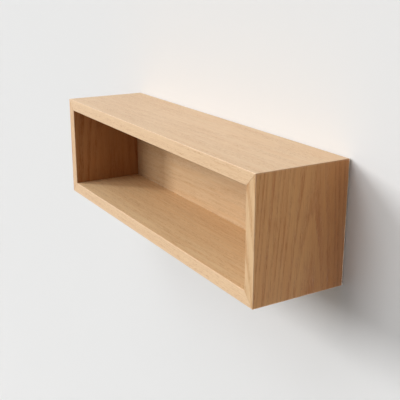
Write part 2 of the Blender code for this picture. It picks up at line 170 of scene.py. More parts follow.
def build_oak_figure():
    """Oak seen through the log: rings about a leaning pith, pores, fibres and rays, in mm."""
    group, takes, gives = new_group(
        "oak_figure",
        [
            ("Place", "Vector", None),
            ("Pith Across", "Float", 0.0),
            ("Pith Depth", "Float", 60.0),
            ("Ring Width", "Float", 3.0),
            ("Lean", "Float", 0.02),
            ("Sway", "Float", 0.0),
            ("Wander", "Float", 4.0),
            ("Rear Shade From", "Float", -60.0),
            ("Rear Shade To", "Float", 60.0),
        ],
        ["Ring", "Rear Shade", "Warmth", "Fibre", "Cloud", "Tracks", "Vessels", "Rays", "Height"],
    )
    place = takes["Place"]
    parts = add(group, "ShaderNodeSeparateXYZ", {0: place}).outputs

    # The rings lie about the pith, which leans, sways and wanders as a tree does.
    slow = noise(group, place, SLOW_WANDER)
    quick = noise(group, place, QUICK_WANDER)
    drift = calc(group, "MULTIPLY", calc(group, "SUBTRACT", slow, 0.5), takes["Wander"])
    ripple = calc(group, "MULTIPLY_ADD", calc(group, "SUBTRACT", quick, 0.5), 2.0, drift)
    swayed = calc(group, "MULTIPLY_ADD", parts[2], takes["Sway"], takes["Pith Across"])
    across = calc(group, "SUBTRACT", parts[0], swayed)
    deep = calc(group, "SUBTRACT", parts[1], takes["Pith Depth"])
    squares = calc(group, "MULTIPLY_ADD", deep, deep, calc(group, "MULTIPLY", across, across))
    reach = calc(group, "SQRT", squares)
    leaning = calc(group, "MULTIPLY_ADD", parts[2], takes["Lean"], reach)
    radius = calc(group, "ADD", leaning, ripple)
    count = calc(group, "DIVIDE", radius, takes["Ring Width"])

    # Some years grow wide and some narrow, and each year's early wood has its own strength.
    weather = noise_along(group, count, 0.41, 1.0, 0.5)
    years = calc(group, "MULTIPLY_ADD", weather, 2.0, count)
    season = calc(group, "FRACT", years)
    early = calc(group, "MULTIPLY", ramp(group, season, 0.0, 0.2), ramp(group, season, 0.9, 0.2))
    whole_year = {"W": calc(group, "FLOOR", years)}
    year = add(group, "ShaderNodeTexWhiteNoise", whole_year, noise_dimensions="1D").outputs[0]
    patchy = ramp(group, noise(group, place, RING_PATCH), 0.25, 0.6, 0.55, 1.0)
    strength = calc(group, "MULTIPLY", calc(group, "MULTIPLY_ADD", year, 0.6, 0.4), patchy)
    ring = calc(group, "MULTIPLY", early, strength)
    # Painted shade: the wood turns darker towards the board's rear, where shade deepens towards the wall.
    aside = calc(group, "MULTIPLY_ADD", calc(group, "SUBTRACT", slow, 0.5), 60.0, parts[0])
    rear_shade = ramp(group, aside, takes["Rear Shade From"], takes["Rear Shade To"])

    # Fibres and soft bands of colour run along the grain.
    fine = noise(group, place, FINE_FIBRE, 3.0, 0.65)
    streaks = ramp(group, noise(group, place, STREAK, 2.0, 0.6), 0.3, 0.7)
    broad = noise(group, place, BROAD_FIBRE)
    fibre = calc(group, "MULTIPLY_ADD", fine, 0.4, calc(group, "MULTIPLY", broad, 0.25))
    fibre = calc(group, "MULTIPLY_ADD", streaks, 0.35, fibre)
    cloud = noise(group, place, CLOUD, 3.0, 0.55)
    elsewhere = add(group, "ShaderNodeVectorMath", {0: place, 1: WARM_SHIFT}, operation="ADD").outputs[0]
    warmth = ramp(group, noise(group, elsewhere, WARM_BAND, 3.0, 0.6), 0.3, 0.7)

    # Short dark strokes, open pores that crowd in the early wood, and a few ray flecks.
    strokes = cells(group, place, STROKE)
    tracks = ramp(group, strokes["Distance"], 0.44, 0.12)
    tracks = calc(group, "MULTIPLY", tracks, ramp(group, chance(group, strokes), 0.35, 0.9))
    open_pore = ramp(group, cells(group, place, PORE)["Distance"], 0.42, 0.2)
    crowd = ramp(group, calc(group, "MULTIPLY_ADD", fine, 0.4, early), 0.2, 1.0, 0.15, 1.0)
    vessels = calc(group, "MULTIPLY", open_pore, crowd)
    flecks = cells(group, place, RAY_FLECK)
    near_fleck = ramp(group, flecks["Distance"], 0.30, 0.12)
    rays = calc(group, "MULTIPLY", near_fleck, ramp(group, chance(group, flecks), 0.72, 0.78))
    height = calc(group, "MULTIPLY_ADD", fine, 0.25, calc(group, "MULTIPLY", vessels, -1.0))
    height = calc(group, "MULTIPLY_ADD", early, -0.12, height)
    for label, value in (
        ("Ring", ring),
        ("Rear Shade", rear_shade),
        ("Warmth", warmth),
        ("Fibre", fibre),
        ("Cloud", cloud),
        ("Tracks", tracks),
        ("Vessels", vessels),
        ("Rays", rays),
        ("Height", height),
    ):
        group.links.new(value, gives[label])
    return group


def build_box_faces(low, high, mouth_low, mouth_high):
    """Which part of the box a point is on: its narrow edges, its inside, and its worn arrises, in m."""
    group, takes, gives = new_group(
        "box_faces",
        [("Place", "Vector", None), ("Reach", "Float", WORN_REACH)],
        ["Worn", "Edge", "Inside"],
    )
    parts = add(group, "ShaderNodeSeparateXYZ", {0: takes["Place"]}).outputs

    def past(axis, lowest, highest):
        """How far a point lies outside two planes that are square to an axis."""
        half = (highest[axis] - lowest[axis]) / 2
        middle = (highest[axis] + lowest[axis]) / 2
        off = calc(group, "ABSOLUTE", calc(group, "SUBTRACT", parts[axis], middle))
        return calc(group, "SUBTRACT", off, half)

    # A point near two faces at once is near an arris.
    from_mouth = calc(group, "MAXIMUM", past(0, mouth_low, mouth_high), past(2, mouth_low, mouth_high))
    gaps = [calc(group, "ABSOLUTE", past(axis, low, high)) for axis in range(3)]
    gaps.append(calc(group, "ABSOLUTE", from_mouth))
    nearest, second = 1.0, 1.0
    for gap in gaps:
        second = calc(group, "MINIMUM", second, calc(group, "MAXIMUM", nearest, gap))
        nearest = calc(group, "MINIMUM", nearest, gap)
    patchy = noise(group, takes["Place"], WORN_PATCH, 3.0, 0.6)
    depth = calc(group, "MULTIPLY", takes["Reach"], calc(group, "ADD", patchy, 0.35))
    worn = calc(group, "SUBTRACT", 1.0, calc(group, "DIVIDE", second, depth))
    group.links.new(add(group, "ShaderNodeClamp", {0: worn}).outputs[0], gives["Worn"])
    group.links.new(ramp(group, past(1, low, high), -0.0009, -0.0002), gives["Edge"])
    group.links.new(ramp(group, from_mouth, 0.0008, 0.0003), gives["Inside"])
    return group


left_box, right_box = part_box("left_side_board"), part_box("right_side_board")
top_box, bottom_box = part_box("top_board"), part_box("bottom_board")
box_low = Vector((left_box[0].x, left_box[0].y, bottom_box[0].z))
box_high = Vector((right_box[1].x, right_box[1].y, top_box[1].z))
mouth_low = Vector((left_box[1].x, box_low.y, bottom_box[1].z))
mouth_high = Vector((right_box[0].x, box_high.y, top_box[0].z))
oak_figure = build_oak_figure()
box_faces = build_box_faces(box_low, box_high, mouth_low, mouth_high)

# Turns the world's axes into a plank's: across, into its thickness, along its grain.
LENGTHWISE = Matrix(((0, 1, 0), (0, 0, 1), (1, 0, 0)))
UPRIGHT = Matrix(((0, 1, 0), (-1, 0, 0), (0, 0, 1)))


def oak(name, grain, log, colours, rear_shade, contrast, gloss):
    """
    One board's oak. The log says where in the tree the board lay and how the tree grew, in mm. The
    rear tint is painted shade, darker towards the board's rear edge: where it starts, where it is full,
    and that tint. Its face colours carry painted light and shade too.
    """
    finish, tree, shader = new_finish(name)
    place = add(tree, "ShaderNodeTexCoord").outputs["Object"]
    in_log = {"Vector": place, "Location": log["place"], "Rotation": grain.to_euler(), "Scale": (MM,) * 3}
    rear_shade_from, rear_shade_to, rear_shade_wood = rear_shade
    settings = {
        "Place": add(tree, "ShaderNodeMapping", in_log, vector_type="POINT").outputs[0],
        "Pith Across": log["pith"][0],
        "Pith Depth": log["pith"][1],
        "Ring Width": log["ring"],
        "Lean": log["lean"],
        "Sway": log["sway"],
        "Wander": log["wander"],
        "Rear Shade From": rear_shade_from,
        "Rear Shade To": rear_shade_to,
    }
    seen = add(tree, "ShaderNodeGroup", settings, node_tree=oak_figure).outputs
    faces = add(tree, "ShaderNodeGroup", {"Place": place}, node_tree=box_faces).outputs

    # Each face's wood goes from pale to dark by the same tone.
    tone = calc(tree, "MULTIPLY", seen["Ring"], contrast)
    tone = calc(tree, "MULTIPLY_ADD", calc(tree, "SUBTRACT", seen["Fibre"], 0.5), 1.7, tone)
    tone = calc(tree, "MULTIPLY_ADD", calc(tree, "SUBTRACT", seen["Cloud"], 0.5), 0.8, tone)
    tone = calc(tree, "MULTIPLY_ADD", seen["Tracks"], 0.5, tone)
    woods = {}
    for face, colour in colours.items():
        pale = tuple(part * lift for part, lift in zip(colour, PALE_WOOD))
        dark = tuple(part * drop for part, drop in zip(colour, DARK_WOOD))
        lower = blend_colour(tree, ramp(tree, tone, -0.35, 0.35), pale, colour)
        woods[face] = blend_colour(tree, ramp(tree, tone, 0.2, 1.1), lower, dark)
    # The box's inside takes its own colour: darker with painted shade, and paler on the floor with
    # painted light.
    wood = blend_colour(tree, faces["Inside"], woods["outside"], woods["inside"])
    wood = blend_colour(tree, seen["Warmth"], wood, WARM_WOOD, "MULTIPLY")
    # The rear tint: painted shade.
    wood = blend_colour(tree, seen["Rear Shade"], wood, rear_shade_wood, "MULTIPLY")
    wood = blend_colour(tree, faces["Edge"], wood, woods["edges"])
    shade = calc(tree, "MULTIPLY_ADD", seen["Vessels"], 0.5, calc(tree, "MULTIPLY", seen["Rays"], 0.12))
    wood = blend_colour(tree, shade, wood, PORE_WOOD, "MULTIPLY")
    wood = blend_colour(tree, calc(tree, "MULTIPLY", faces["Worn"], 0.3), wood, EDGE_OAK)
    tree.links.new(wood, shader.inputs["Base Color"])

    # Pores are dull, worn arrises are a little smoother, and the oil leaves a faint bloom.
    rough = calc(tree, "MULTIPLY_ADD", seen["Fibre"], 0.14, gloss)
    rough = calc(tree, "MULTIPLY_ADD", seen["Vessels"], 0.22, rough)
    rough = calc(tree, "MULTIPLY_ADD", faces["Worn"], -0.08, rough)
    tree.links.new(rough, shader.inputs["Roughness"])
    emboss(tree, shader, seen["Height"], 0.5, 0.00012)
    shader.inputs["Specular IOR Level"].default_value = 0.4
    shader.inputs["Sheen Weight"].default_value = 0.12
    shader.inputs["Sheen Roughness"].default_value = 0.3
    return finish


# Each board's face colours paint light and shade: the box's inside is darker with painted shade and its
# floor paler with painted light, and the right side's outside is darker and redder with painted shade.
oak_boards = {
    "top_board": oak(
        "oak_top",
        grain=LENGTHWISE,
        log={
            "place": (0, 0, 0), "pith": (-40, -150), "ring": 6.0,
            "lean": 0.012, "sway": 0.0, "wander": 5.0,
        },
        colours={
            "outside": (0.675, 0.46, 0.268),
            "inside": (0.52, 0.30, 0.135),
            "edges": (0.765, 0.52, 0.305),
        },
        rear_shade=(-75, 10, (0.95, 0.93, 0.88)),
        contrast=0.16,
        gloss=0.33,
    ),
    "bottom_board": oak(
        "oak_bottom",
        grain=LENGTHWISE,
        log={
            "place": (12, 5, 400), "pith": (-160, 90), "ring": 5.0,
            "lean": -0.01, "sway": 0.0, "wander": 6.0,
        },
        colours={
            "outside": (0.66, 0.44, 0.25),
            "inside": (0.77, 0.55, 0.31),
            "edges": (0.77, 0.525, 0.31),
        },
        rear_shade=(-140, -20, (0.96, 0.90, 0.82)),
        contrast=0.16,
        gloss=0.42,
    ),
    "left_side_board": oak(
        "oak_left",
        grain=UPRIGHT,
        log={
            "place": (60, 30, 900), "pith": (-10, 95), "ring": 4.4,
            "lean": 0.03, "sway": 0.0, "wander": 6.0,
        },
        colours={
            "outside": (0.64, 0.42, 0.235),
            "inside": (0.60, 0.30, 0.12),
            "edges": (0.74, 0.49, 0.28),
        },
        rear_shade=(-120, 0, (0.68, 0.62, 0.54)),
        contrast=0.95,
        gloss=0.42,
    ),
    "right_side_board": oak(
        "oak_right",
        grain=UPRIGHT,
        log={
            "place": (0, 0, 0), "pith": (-58, -261.3), "ring": 6.2,
            "lean": 0.049, "sway": 0.02, "wander": 2.0,
        },
        colours={
            "outside": (0.605, 0.297, 0.099),
            "inside": (0.58, 0.36, 0.18),
            "edges": (0.70, 0.46, 0.245),
        },
        rear_shade=(-95, 5, (0.86, 0.70, 0.50)),
        contrast=0.9,
        gloss=0.42,
    ),
}
for name, finish in oak_boards.items():
    nodes[name].material_slots[0].material = finish


# The back panel is a thin oak-veneered board that floats in a groove in all four boards.
# Its veneer runs lengthwise and is cut flatter than the boards, so its figure is broader.
PANEL_OAK = (0.65, 0.46, 0.27)
oak_panel = oak(
    "oak_panel",
    grain=LENGTHWISE,
    log={
        "place": (0, 40, 150), "pith": (60, 20), "ring": 6.5,
        "lean": 0.022, "sway": 0.0, "wander": 7.0,
    },
    colours={"outside": PANEL_OAK, "inside": PANEL_OAK, "edges": PANEL_OAK},
    rear_shade=(-400, -300, (1.0, 0.98, 0.96)),
    contrast=0.22,
    gloss=0.42,
)
nodes["back_panel"].material_slots[0].material = oak_panel


# The biscuits are ovals of pressed beech, glued into round-ended slots across each mitre.
# Their grain runs askew and both faces carry the press's fine waffle.
BEECH_PALE = (0.70, 0.50, 0.33)
BEECH_DARK = (0.58, 0.38, 0.235)
BEECH_FLECK = (0.44, 0.26, 0.15)
BEECH_PIT_SHADE = (0.46, 0.29, 0.17)
BEECH_SLANT = (0.0, math.radians(45), math.radians(30))


def build_beech():
    """Compressed beech: short flecks on a slanting grain, under an embossed grid."""
    finish, tree, shader = new_finish("beech_pressed")
    place = add(tree, "ShaderNodeTexCoord").outputs["Object"]
    slanted = {"Vector": place, "Rotation": BEECH_SLANT, "Scale": (MM,) * 3}
    turned = add(tree, "ShaderNodeMapping", slanted).outputs[0]
    fibres = noise(tree, turned, (0.35, 9.0, 0.35), 3.0, 0.6)
    cloud = noise(tree, turned, (6.0, 14.0, 6.0))
    near_fleck = ramp(tree, cells(tree, turned, (0.5, 2.2, 0.5))["Distance"], 0.34, 0.16)
    pit = ramp(tree, cells(tree, turned, (1.1, 1.1, 1.1), spread=0.0)["Distance"], 0.45, 0.2)
    tone = calc(tree, "MULTIPLY_ADD", cloud, 0.5, calc(tree, "MULTIPLY", fibres, 0.5))
    wood = blend_colour(tree, ramp(tree, tone, 0.3, 0.7), BEECH_PALE, BEECH_DARK)
    wood = blend_colour(tree, calc(tree, "MULTIPLY", near_fleck, 0.5), wood, BEECH_FLECK)
    # The pits are painted darker: painted shade in the hollows.
    wood = blend_colour(tree, calc(tree, "MULTIPLY", pit, 0.3), wood, BEECH_PIT_SHADE)
    tree.links.new(wood, shader.inputs["Base Color"])
    tree.links.new(ramp(tree, fibres, 0.2, 0.8, 0.62, 0.78), shader.inputs["Roughness"])
    height = calc(tree, "MULTIPLY_ADD", pit, -1.0, calc(tree, "MULTIPLY", fibres, 0.3))
    emboss(tree, shader, height, 0.6, 0.0002)
    return finish


beech_pressed = build_beech()
for name, node in nodes.items():
    if name.startswith("biscuit_"):
        node.material_slots[0].material = beech_pressed


# The hanging angle and the wall rail are mill-finish aluminium extrusions, sawn to length and drilled.
# The angle is screwed under the top board, and the rail to the wall. The angle drops in behind the
# rail's hook.
BRIGHT_METAL = (0.74, 0.745, 0.75)
DULL_METAL = (0.60, 0.605, 0.61)
RUBBED_METAL = (0.84, 0.845, 0.85)
BLADE_BELOW = 160.0


def place_in_mm(tree):
    """Each point's place on its own piece, in mm."""
    return scaled(tree, add(tree, "ShaderNodeTexCoord").outputs["Object"], (MM,) * 3)


def build_aluminium():
    """Extruded aluminium: die lines along X, saw marks on the cut ends, rubs where the hooks meet."""
    finish, tree, shader = new_finish("aluminium_extruded")
    in_mm = place_in_mm(tree)
    parts = add(tree, "ShaderNodeSeparateXYZ", {0: in_mm}).outputs
    facing = add(tree, "ShaderNodeNewGeometry").outputs["Normal"]
    end_face = calc(tree, "ABSOLUTE", add(tree, "ShaderNodeSeparateXYZ", {0: facing}).outputs[0])
    sawn = ramp(tree, end_face, 0.8, 0.95)
    die_lines = noise(tree, in_mm, (900.0, 0.35, 0.35), 3.0, 0.7)
    bands = noise(tree, in_mm, (600.0, 3.5, 3.5))

    # The saw's marks are arcs about its spindle, which ran below the piece.
    above_blade = calc(tree, "ADD", parts[2], BLADE_BELOW)
    squares = calc(tree, "MULTIPLY", above_blade, above_blade)
    sweep = calc(tree, "SQRT", calc(tree, "MULTIPLY_ADD", parts[1], parts[1], squares))
    lines = blend_colour(tree, sawn, die_lines, noise_along(tree, sweep, 2.6, 2.0, 0.6))

    # The metal is rubbed bright in spots at the height of the hook and its channel.
    rubs = cells(tree, in_mm, (0.55, 2.0, 7.0))
    above_floor = ramp(tree, parts[2], 12.0, 16.0)
    in_channel = calc(tree, "MULTIPLY", above_floor, ramp(tree, parts[2], 36.0, 27.0))
    some = ramp(tree, chance(tree, rubs), 0.74, 0.8)
    rubbed = calc(tree, "MULTIPLY", ramp(tree, rubs["Distance"], 0.3, 0.1), some)
    rubbed = calc(tree, "MULTIPLY", rubbed, in_channel)
    haze = noise(tree, in_mm, (38.0, 38.0, 38.0), 3.0, 0.55)
    tone = calc(tree, "MULTIPLY_ADD", bands, 0.5, calc(tree, "MULTIPLY", haze, 0.5))
    metal = blend_colour(tree, ramp(tree, tone, 0.3, 0.7), BRIGHT_METAL, DULL_METAL)
    metal = blend_colour(tree, calc(tree, "MULTIPLY", rubbed, 0.6), metal, RUBBED_METAL)
    tree.links.new(metal, shader.inputs["Base Color"])
    rough = calc(tree, "MULTIPLY_ADD", haze, 0.16, calc(tree, "MULTIPLY_ADD", lines, 0.14, 0.22))
    rough = calc(tree, "MULTIPLY_ADD", rubbed, -0.12, rough)
    tree.links.new(rough, shader.inputs["Roughness"])
    shader.inputs["Metallic"].default_value = 1.0
    emboss(tree, shader, calc(tree, "MULTIPLY_ADD", rubbed, -0.5, lines), 0.35, 0.00006)
    return finish


aluminium_extruded = build_aluminium()
for name in ("hanging_angle", "wall_rail"):
    nodes[name].material_slots[0].material = aluminium_extruded


# The screws are zinc-plated steel: flat heads under the top board, pan heads on the wall rail.
# Each has a rolled thread down to its point and a cross recess struck into its head.
SCREW_SIDES = 40

# The thread's section: how far along one pitch, and how high between root and crest.
THREAD_FORM = ((0.0, 0.0), (0.38, 0.10), (0.5, 1.0), (0.58, 1.0), (0.7, 0.10))
THREAD_ROOT = 0.64
POINT_PITCHES = 2.2
POINT_BLUNT = 0.04
WELD_REACH = 1e-7
TIP_REACH = 1e-6

# The recess's steps: how deep, and how wide beside its mouth.
RECESS_STEPS = ((-0.5, 1.12), (0.0, 1.0), (0.8, 0.63), (1.0, 0.28))
RECESS_ACROSS = 0.0042
RECESS_ARM = 0.0009
RECESS_ROOT = 1.5
RECESS_DEPTH = 0.0016
RECESS_EDGE = 0.00006
ROUNDED_FROM = math.radians(38)
CREASED_FROM = math.radians(35)

ZINC_YELLOW = (0.70, 0.70, 0.67)
ZINC_BLUE = (0.62, 0.65, 0.69)
ZINC_DULL = (0.42, 0.42, 0.41)


def round_point(shape, radius, angle, height):
    """A point of a shape at a distance and angle from Z."""
    return shape.verts.new((radius * math.cos(angle), radius * math.sin(angle), height))


def turn(shape, outline, sides, closed=False):
    """Revolve (radius, height) points about Z; a radius of 0 closes the surface to a point."""
    rings = []
    for radius, height in outline:
        if radius == 0.0:
            rings.append([shape.verts.new((0.0, 0.0, height))] * sides)
            continue
        angles = [2 * math.pi * step / sides for step in range(sides)]
        rings.append([round_point(shape, radius, angle, height) for angle in angles])
    if closed:
        rings.append(rings[0])
    for near, far in zip(rings, rings[1:]):
        for step in range(sides):
            follow = (step + 1) % sides
            corners = [near[step], near[follow], far[follow], far[step]]
            face = list(dict.fromkeys(corners))
            if len(face) > 2:
                shape.faces.new(face)


def screw_thread(shape, crest, pitch, start, end):
    """A helical thread about Z from a plain neck at start to the point at end."""
    root = crest * THREAD_ROOT
    rows = len(THREAD_FORM)
    turns = math.ceil((end - start) / pitch) + 1
    grid = []
    for row in range(-rows, turns * rows):
        whole, part = divmod(row, rows)
        share, lift = THREAD_FORM[part]
        ring = []
        for step in range(SCREW_SIDES):
            height = start + (whole + share + step / SCREW_SIDES) * pitch
            height = min(max(height, start), end)
            fade = min(1.0, (height - start) / pitch, (end - height) / pitch)
            taper = min(1.0, POINT_BLUNT + (end - height) / (POINT_PITCHES * pitch))
            radius = taper * (root + (crest - root) * lift * max(fade, 0.0))
            ring.append(round_point(shape, radius, 2 * math.pi * step / SCREW_SIDES, height))
        grid.append(ring)
    for row in range(len(grid) - rows - 1):
        for step in range(SCREW_SIDES):
            near, far = grid[row], grid[row + 1]
            if step + 1 == SCREW_SIDES:
                shape.faces.new((near[step], grid[row + rows][0], grid[row + rows + 1][0], far[step]))
            else:
                shape.faces.new((near[step], near[step + 1], far[step + 1], far[step]))
    bmesh.ops.remove_doubles(shape, verts=shape.verts, dist=WELD_REACH)
    bmesh.ops.dissolve_degenerate(shape, edges=shape.edges, dist=WELD_REACH)


def mesh_of(name, shape):
    """Keep a shape as a mesh with its faces turned outwards."""
    bmesh.ops.recalc_face_normals(shape, faces=shape.faces)
    mesh = bpy.data.meshes.new(name)
    shape.to_mesh(mesh)
    shape.free()
    return mesh


def cut_away(name, mesh, cutter_mesh, edge, finish):
    """A mesh less a cutter, with its sharp edges rounded to the given radius, in one finish."""
    body = bpy.data.objects.new(name, mesh)
    tool = bpy.data.objects.new(name + "_tool", cutter_mesh)
    for made in (body, tool):
        bpy.context.scene.collection.objects.link(made)
    removal = body.modifiers.new("removal", "BOOLEAN")
    removal.operation = "DIFFERENCE"
    removal.solver = "EXACT"
    removal.object = tool
    rounding = body.modifiers.new("rounding", "BEVEL")
    rounding.width = edge
    rounding.segments = 2
    rounding.limit_method = "ANGLE"
    rounding.angle_limit = ROUNDED_FROM
    shown = body.evaluated_get(bpy.context.evaluated_depsgraph_get())
    finished = bpy.data.meshes.new_from_object(shown)
    finished.name = name
    for made in (body, tool):
        bpy.data.objects.remove(made)
    finished.shade_smooth()
    finished.set_sharp_from_angle(angle=CREASED_FROM)
    finished.materials.clear()
    finished.materials.append(finish)
    return finished


def cross_recess(name, face_height):
    """The tapered cross that a driver fits, from a head's face and into the head."""
    shape = bmesh.new()
    arm = RECESS_ARM / 2
    reach = RECESS_ACROSS / 2
    corner = arm * RECESS_ROOT
    outline = []
    for quarter in range(4):
        spin = Matrix.Rotation(quarter * math.pi / 2, 2)
        outline += [spin @ Vector(point) for point in ((reach, -arm), (reach, arm), (corner, corner))]
    rings = []
    for depth, size in RECESS_STEPS:
        height = face_height + depth * RECESS_DEPTH
        rings.append([shape.verts.new((*(point * size), height)) for point in outline])
    for near, far in zip(rings, rings[1:]):
        for step in range(len(outline)):
            follow = (step + 1) % len(outline)
            shape.faces.new((near[step], near[follow], far[follow], far[step]))
    shape.faces.new(rings[0])
    shape.faces.new(rings[-1])
    return mesh_of(name, shape)


def build_zinc():
    """Bright zinc plate: a fine crystal grain, a faint yellow and blue bloom, and dull patches."""
    finish, tree, shader = new_finish("zinc_plate")
    in_mm = place_in_mm(tree)
    grain = noise(tree, in_mm, (0.12, 0.12, 0.12), 2.0, 0.6)
    bloom = noise(tree, in_mm, (2.4, 2.4, 2.4), 3.0, 0.6)
    dull = noise(tree, in_mm, (1.1, 1.1, 3.0))
    metal = blend_colour(tree, ramp(tree, bloom, 0.35, 0.65), ZINC_YELLOW, ZINC_BLUE)
    metal = blend_colour(tree, ramp(tree, dull, 0.55, 0.8, 0.0, 0.5), metal, ZINC_DULL)
    tree.links.new(metal, shader.inputs["Base Color"])
    rough = calc(tree, "MULTIPLY_ADD", grain, 0.12, calc(tree, "MULTIPLY_ADD", dull, 0.2, 0.16))
    tree.links.new(rough, shader.inputs["Roughness"])
    shader.inputs["Metallic"].default_value = 1.0
    emboss(tree, shader, grain, 0.25, 0.00003)
    return finish


zinc_plate = build_zinc()


def screw_mesh(name, head, crest, pitch, length, face_height):
    """One screw about +Z: its head's outline, then a neck and a thread to its point."""
    shape = bmesh.new()
    start = head[-1][1]
    turn(shape, head + [(crest * THREAD_ROOT, start)], SCREW_SIDES)
    screw_thread(shape, crest, pitch, start, length)
    tip = [vert for vert in shape.verts if vert.co.z > length - TIP_REACH]
    shape.faces.new(sorted(tip, key=lambda vert: math.atan2(vert.co.y, vert.co.x)))
    whole = mesh_of(name, shape)
    return cut_away(name, whole, cross_recess(name + "_recess", face_height), RECESS_EDGE, zinc_plate)


def place_piece(node, substance, mesh, where, body):
    """Put a mesh where a CAD node is and let it stand for that node."""
    made = bpy.data.objects.new(f"{node}_{substance}", mesh)
    made.matrix_world = where
    bpy.context.scene.collection.objects.link(made)
    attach(made, body)
    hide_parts(node)
    return made


# The flat heads: a cone of 45 degrees under a narrow rim. Each screw stops at its own angle.
FLAT_RIM = 0.0003
FLAT_FILLET = 1.15
FLAT_PITCH = 0.0018
FLAT_SPIN = 1.3
ARRIS = 0.0001
flat_low, flat_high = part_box("angle_screw_1")
flat_head = (flat_high.x - flat_low.x) / 2
flat_crest = flat_head / 2
flat_fillet = flat_crest * FLAT_FILLET
flat_neck = flat_crest * THREAD_ROOT
flat_outline = [
    (0.0, 0.0),
    (flat_head - 2 * ARRIS, 0.0),
    (flat_head, ARRIS),
    (flat_head, FLAT_RIM),
    (flat_fillet, FLAT_RIM + flat_head - flat_fillet),
    (flat_neck, FLAT_RIM + flat_head - flat_neck),
]
flat_mesh = screw_mesh("flat_screw", flat_outline, flat_crest, FLAT_PITCH, flat_high.z - flat_low.z, 0.0)
for number in range(1, 5):
    node = f"angle_screw_{number}"
    low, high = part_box(node)
    where = Matrix.Translation(((low.x + high.x) / 2, (low.y + high.y) / 2, low.z))
    spin = Matrix.Rotation(number * FLAT_SPIN, 4, "Z")
    place_piece(node, "steel", flat_mesh, where @ spin, "shelf")

# The pan heads: a domed side round a small flat. The neck is a share of the crest's radius.
PAN_HEIGHT = 0.0028
PAN_RIM = 0.0006
PAN_FLAT = 0.0020
PAN_STEPS = 7
PAN_CREST = 0.00225
PAN_NECK = 0.9
PAN_NECK_END = 0.0005
PAN_PITCH = 0.0022
PAN_SPIN = 0.9
pan_low, pan_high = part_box("wall_screw_1")
pan_head = (pan_high.x - pan_low.x) / 2
pan_length = pan_high.y - pan_low.y - PAN_HEIGHT
pan_outline = [(0.0, -PAN_HEIGHT)]
for step in range(PAN_STEPS + 1):
    swing = math.pi / 2 * step / PAN_STEPS
    radius = PAN_FLAT + (pan_head - PAN_FLAT) * math.sin(swing)
    pan_outline.append((radius, -PAN_RIM - (PAN_HEIGHT - PAN_RIM) * math.cos(swing)))
pan_outline += [(pan_head, -ARRIS), (pan_head - ARRIS, 0.0)]
pan_outline += [(PAN_CREST, 0.0), (PAN_CREST * PAN_NECK, PAN_NECK_END)]
pan_mesh = screw_mesh("pan_screw", pan_outline, PAN_CREST, PAN_PITCH, pan_length, -PAN_HEIGHT)


def into_wall(node, start=0.0):
    """The place of a piece whose +Z points into the wall; its height 0 is that far past its CAD front."""
    low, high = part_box(node)
    place = Matrix.Translation(((low.x + high.x) / 2, low.y + start, (low.z + high.z) / 2))
    return place @ Matrix.Rotation(-math.pi / 2, 4, "X")


for number in range(1, 4):
    node = f"wall_screw_{number}"
    spin = Matrix.Rotation(number * PAN_SPIN, 4, "Z")
    place_piece(node, "steel", pan_mesh, into_wall(node, PAN_HEIGHT) @ spin, "wall_mount")


# The wall plugs are moulded in one piece of grey nylon, with a collar, barbs and two fins that grip.
# The split lets the screw spread the barbs in the wall.
PLUG_SIDES = 48
PLUG_RADIUS = 0.004
PLUG_NECK = 0.009
PLUG_SPLIT = 0.0012
PLUG_EDGE = 0.00007
BORE_ROOM = 0.0003
FLARE_WIDTH = 0.0003
FLARE_DEPTH = 0.0005
COLLAR_ARRIS = 0.0002
COLLAR_DEPTH = 0.0007
BARBS = 5
BARB_DEPTH = 0.0004
BARB_LAND = 0.0004
BARB_ROOT = 0.3
FIN_WIDTH = 0.0009
FIN_START = 0.0006
FIN_FOOT = 0.0006
FIN_SHY = 0.0001
SLIT_START = 0.0004
SLIT_PAST = 0.001
NYLON_PALE = (0.50, 0.51, 0.52)
NYLON_DARK = (0.43, 0.44, 0.45)
NYLON_GRIT = (0.36, 0.365, 0.37)


def build_nylon():
    """Moulded nylon: faint flow marks, a satin skin and a little grit in the grey."""
    finish, tree, shader = new_finish("nylon_moulded")
    in_mm = place_in_mm(tree)
    flow = noise(tree, in_mm, (1.6, 1.6, 9.0), 3.0, 0.55, 0.6)
    grit = noise(tree, in_mm, (0.16, 0.16, 0.16), 2.0, 0.6)
    skin = blend_colour(tree, ramp(tree, flow, 0.3, 0.7), NYLON_PALE, NYLON_DARK)
    skin = blend_colour(tree, ramp(tree, grit, 0.6, 0.75, 0.0, 0.35), skin, NYLON_GRIT)
    tree.links.new(skin, shader.inputs["Base Color"])
    rough = calc(tree, "MULTIPLY_ADD", flow, 0.16, calc(tree, "MULTIPLY_ADD", grit, 0.1, 0.32))
    tree.links.new(rough, shader.inputs["Roughness"])
    emboss(tree, shader, grit, 0.2, 0.00005)
    return finish


def plug_outline(collar, length):
    """Half the plug's section as (radius, height), round its collar, barbs and bore."""
    bore = PAN_CREST + BORE_ROOM
    pitch = (length - PLUG_NECK) / BARBS
    outline = [(bore + FLARE_WIDTH, 0.0), (collar - COLLAR_ARRIS, 0.0), (collar, COLLAR_ARRIS)]
    outline += [(PLUG_RADIUS, COLLAR_DEPTH), (PLUG_RADIUS, PLUG_NECK)]
    for barb in range(BARBS):
        start = PLUG_NECK + barb * pitch
        outline.append((PLUG_RADIUS - BARB_DEPTH, start + BARB_LAND))
        outline.append((PLUG_RADIUS - BARB_DEPTH, start + pitch * BARB_ROOT))
        if barb == BARBS - 1:
            outline.append((PLUG_RADIUS - BARB_DEPTH, start + pitch))
        else:
            outline.append((PLUG_RADIUS, start + pitch - BARB_LAND))
            outline.append((PLUG_RADIUS, start + pitch))
    return outline + [(bore, length), (bore, FLARE_DEPTH)]


